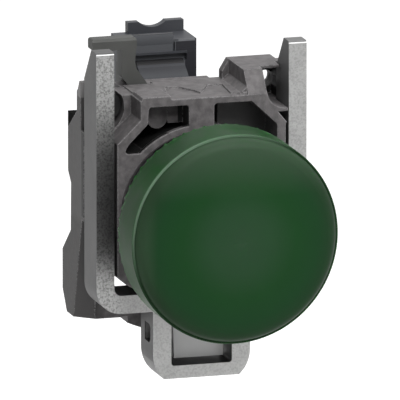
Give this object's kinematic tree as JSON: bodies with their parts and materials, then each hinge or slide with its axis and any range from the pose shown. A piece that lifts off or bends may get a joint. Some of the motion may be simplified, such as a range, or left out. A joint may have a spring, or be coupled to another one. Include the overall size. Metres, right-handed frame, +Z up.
{
  "type": "panel pilot light",
  "caption": "Panel pilot light with a green screw-on lens, a fixing collar with clamp stirrup for a 22 mm hole, and a light block with screw terminals.",
  "frame": {"origin": "on the main axis, at the rear face of the barrel's flange, where the panel's front lies behind the gasket", "axes": "the lens faces -Y, +Z is up, +X is to the right seen from the front"},
  "size_m": [0.03, 0.0548, 0.0465],
  "materials": {
    "lens_green": "translucent green polycarbonate, satin face, knurled skirt",
    "zinc_steel": "zinc-plated steel with a fine speckle",
    "cast_grey": "die-cast zinc alloy, grey, matt",
    "guide_grey": "pale grey moulding",
    "lever_grey": "grey moulding",
    "block_dark": "dark blue-grey moulding",
    "black_plastic": "black moulding",
    "rubber_black": "black seal rubber",
    "barrel_grey": "dark grey glass-filled moulding",
    "clear_plastic": "frosted clear moulding",
    "screw_steel": "nickel-plated steel",
    "brass": "tinned brass",
    "board_green": "circuit board",
    "led_clear": "milky lamp body",
    "resistor_beige": "lacquered resistor"
  },
  "bodies": {
    "collar": {"fixing_collar": "cast_grey", "head_barrel": "barrel_grey", "panel_gasket": "rubber_black", "light_pipe": "clear_plastic", "guide_plate": "guide_grey", "side_latch": "black_plastic", "block_housing": "block_dark", "block_cover": "block_dark", "terminal_plate_top": "brass", "terminal_plate_bottom": "brass", "circuit_board": "board_green", "led_lamp": "led_clear", "resistor": "resistor_beige", "rectifier": "black_plastic"},
    "lens_thread": {"lens_seal": "rubber_black"},
    "lens": {"lens_cap": "lens_green"},
    "lock": {"lock_lever": "lever_grey"},
    "stirrup": {"clamp_stirrup": "zinc_steel"},
    "clamp_screw": {"clamp_screw": "screw_steel"},
    "washer_top": {"clamp_washer_top": "screw_steel"},
    "screw_top": {"terminal_screw_top": "screw_steel"},
    "washer_bottom": {"clamp_washer_bottom": "screw_steel"},
    "screw_bottom": {"terminal_screw_bottom": "screw_steel"}
  },
  "joints": [
    {"name": "lens_slide", "type": "slide", "parent": "collar", "child": "lens_thread", "axis": [0, -1, 0], "range_m": [0, 0.00225]},
    {"name": "lens_turn", "type": "hinge", "parent": "lens_thread", "child": "lens", "pos_m": [0, 0, 0], "axis": [0, -1, 0], "range_deg": [0, 540]},
    {"name": "lock_turn", "type": "hinge", "parent": "collar", "child": "lock", "pos_m": [0, 0.0224, 0], "axis": [0, 1, 0], "range_deg": [0, 28]},
    {"name": "stirrup_slide", "type": "slide", "parent": "collar", "child": "stirrup", "axis": [0, -1, 0], "range_m": [0, 0.005]},
    {"name": "clamp_screw_turn", "type": "hinge", "parent": "stirrup", "child": "clamp_screw", "pos_m": [-0.0116, 0.015, 0.0147], "axis": [0, -1, 0], "range_deg": [0, 3600]},
    {"name": "washer_top_slide", "type": "slide", "parent": "collar", "child": "washer_top", "axis": [0, 1, 0], "range_m": [0, 0.001]},
    {"name": "screw_top_turn", "type": "hinge", "parent": "washer_top", "child": "screw_top", "pos_m": [0, 0.033, 0.0156], "axis": [0, 1, 0], "range_deg": [0, 720]},
    {"name": "washer_bottom_slide", "type": "slide", "parent": "collar", "child": "washer_bottom", "axis": [0, 1, 0], "range_m": [0, 0.001]},
    {"name": "screw_bottom_turn", "type": "hinge", "parent": "washer_bottom", "child": "screw_bottom", "pos_m": [0.00105, 0.033, -0.0146], "axis": [0, 1, 0], "range_deg": [0, 720]}
  ],
  "couplings": [
    {"joint": "lens_slide", "follows": "lens_turn", "m_per_rad": 0.00023873},
    {"joint": "clamp_screw_turn", "follows": "stirrup_slide", "rad_per_m": 12566},
    {"joint": "screw_top_turn", "follows": "washer_top_slide", "rad_per_m": 12566},
    {"joint": "screw_bottom_turn", "follows": "washer_bottom_slide", "rad_per_m": 12566}
  ]
}
